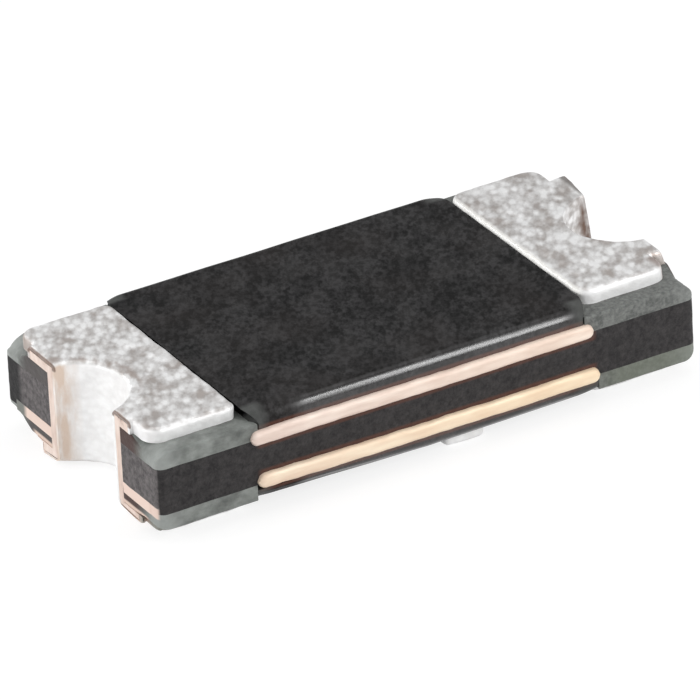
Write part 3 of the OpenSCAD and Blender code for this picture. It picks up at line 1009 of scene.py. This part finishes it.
lower_coat = to_object("coat", *coat_mesh(LOWER_WINDOW, LOWER_COAT_LOW, LOWER_COAT_HIGH, True, 13, worn_ends, 0.0))
carve(lower_coat, block(LAND_LOW - LAND_MARGIN, LAND_HIGH + LAND_MARGIN))
seat(lower_coat, "lower_coating", coat_look)


def land_levels(low, high, corner, edge_round):
    """Levels of the small land under the chip."""
    (x0, y0, z0), (x1, y1, z1) = low, high
    points = arc((x0 + corner, y0 + corner), corner, 180, 270) + arc((x1 - corner, y0 + corner), corner, 270, 360)
    points += arc((x1 - corner, y1 - corner), corner, 0, 90) + arc((x0 + corner, y1 - corner), corner, 90, 180)
    return stacked(dense(points), heights(z0, z1, edge_round, 0))


land_copper_mesh = prism(land_levels(LAND_COPPER_LOW, LAND_COPPER_HIGH, LAND_COPPER_CORNER, 0))
land_copper = to_object("land", *land_copper_mesh)
seat(land_copper, "underside_land", copper)
land_verts, land_faces = prism(land_levels(LAND_LOW, LAND_HIGH, LAND_CORNER, LAND_ROUND), PAD_CELL)
land_verts = swell(land_verts, land_faces, tin_grain(land_verts))
land_verts[:, 2] = np.maximum(land_verts[:, 2], 0)
land_tin = to_object("land", land_verts, land_faces)
land_tool = land_copper_mesh[0].copy()
land_tool[land_tool[:, 2] > LAND_COPPER_HIGH[2] - CLOSE, 2] += OVERLAP
carve(land_tin, (land_tool, land_copper_mesh[1]))
seat(land_tin, "underside_land_tin", tin)

# Floor: pale, white to the camera and in reflections, and it keeps the object's shadow
FLOOR_SIZE = 0.3
FLOOR_GREY, SEEN_GREY = (0.8, 0.8, 0.8, 1), (0.26, 0.26, 0.26, 1)
FLOOR_GLOW = 0.8
WORLD_STRENGTH = 0.45
floor_corners = [(x * FLOOR_SIZE, y * FLOOR_SIZE, 0) for x, y in ((-1, -1), (1, -1), (1, 1), (-1, 1))]
floor = to_object("floor", floor_corners, [(0, 1, 2, 3)])
floor_look = bpy.data.materials.new("floor")
floor_look.use_nodes = True
floor_tree = floor_look.node_tree
floor_tree.nodes.clear()
rays = add(floor_tree, "ShaderNodeLightPath")
seen = larger(floor_tree, rays.outputs["Is Camera Ray"], rays.outputs["Is Glossy Ray"])
seen = larger(floor_tree, seen, rays.outputs["Is Transmission Ray"])
plain = add(floor_tree, "ShaderNodeBsdfDiffuse", {"Color": FLOOR_GREY})
shade = add(floor_tree, "ShaderNodeBsdfDiffuse", {"Color": SEEN_GREY})
glow = add(floor_tree, "ShaderNodeEmission", {"Strength": FLOOR_GLOW})
white = add(floor_tree, "ShaderNodeAddShader", {0: shade.outputs[0], 1: glow.outputs[0]})
floor_mix = add(floor_tree, "ShaderNodeMixShader", {0: seen, 1: plain.outputs[0], 2: white.outputs[0]})
add(floor_tree, "ShaderNodeOutputMaterial", {0: floor_mix.outputs[0]})
floor.data.materials.append(floor_look)

# World: soft even light, white behind the object
world = bpy.data.worlds.new("studio")
bpy.context.scene.world = world
world.use_nodes = True
background = world.node_tree.nodes["Background"].inputs
background["Color"].default_value = (1, 1, 1, 1)
background["Strength"].default_value = WORLD_STRENGTH

# Lamps: soft boxes round the object
AIM = Vector((0, 0, MID_Z * MM))


def soft_box(name, direction, distance, width, height, radiance):
    """An area lamp that faces the object; sizes in millimetres, radiance as a white of 1."""
    lamp = bpy.data.lights.new(name, "AREA")
    lamp.shape = "RECTANGLE"
    lamp.size, lamp.size_y = width * MM, height * MM
    lamp.energy = radiance * math.pi * lamp.size * lamp.size_y
    made = placed(name, lamp)
    back = Vector(direction).normalized()
    made.location = AIM + back * distance * MM
    made.rotation_euler = back.to_track_quat("Z", "Y").to_euler()


soft_box("top_box", (0.1, 0.15, 1.0), 12, 10, 10, 1.2)
soft_box("front_box", (0.426, -0.765, 0.484), 12, 1.1, 8.0, 24.0)
soft_box("left_box", (-1.0, 0.1, 0.35), 12, 8, 6, 3.4)
soft_box("rim_box", (-0.457, 0.77, 0.41), 12, 4, 4, 4.0)

# Camera at the photo's angle
VIEW_AZIMUTH = math.radians(-28.954)
VIEW_HEIGHT = math.radians(28.391)
VIEW_ROLL = math.radians(-3.003)
VIEW_DISTANCE = 50.0
SENSOR = 36.0
LENS = 478.48
AIM_POINT = Vector((0, 0, MID_Z))
AIM_RIGHT, AIM_UP = -0.0071, -0.0148
view_back = Vector((math.sin(VIEW_AZIMUTH) * math.cos(VIEW_HEIGHT), -math.cos(VIEW_AZIMUTH) * math.cos(VIEW_HEIGHT),
                    math.sin(VIEW_HEIGHT)))
level_right = Vector((math.cos(VIEW_AZIMUTH), math.sin(VIEW_AZIMUTH), 0))
level_up = view_back.cross(level_right)
view_right = math.cos(VIEW_ROLL) * level_right + math.sin(VIEW_ROLL) * level_up
view_up = math.cos(VIEW_ROLL) * level_up - math.sin(VIEW_ROLL) * level_right
place = AIM_POINT + view_back * VIEW_DISTANCE + view_right * AIM_RIGHT + view_up * AIM_UP
lens = bpy.data.cameras.new("camera")
lens.sensor_width = SENSOR
lens.lens = LENS
lens.clip_start = 0.001
lens.clip_end = 10
camera = placed("camera", lens)
turn = Matrix((view_right, view_up, view_back)).transposed().to_4x4()
camera.matrix_world = Matrix.Translation(place * MM) @ turn
bpy.context.scene.camera = camera

bpy.context.scene.view_settings.view_transform = "Standard"
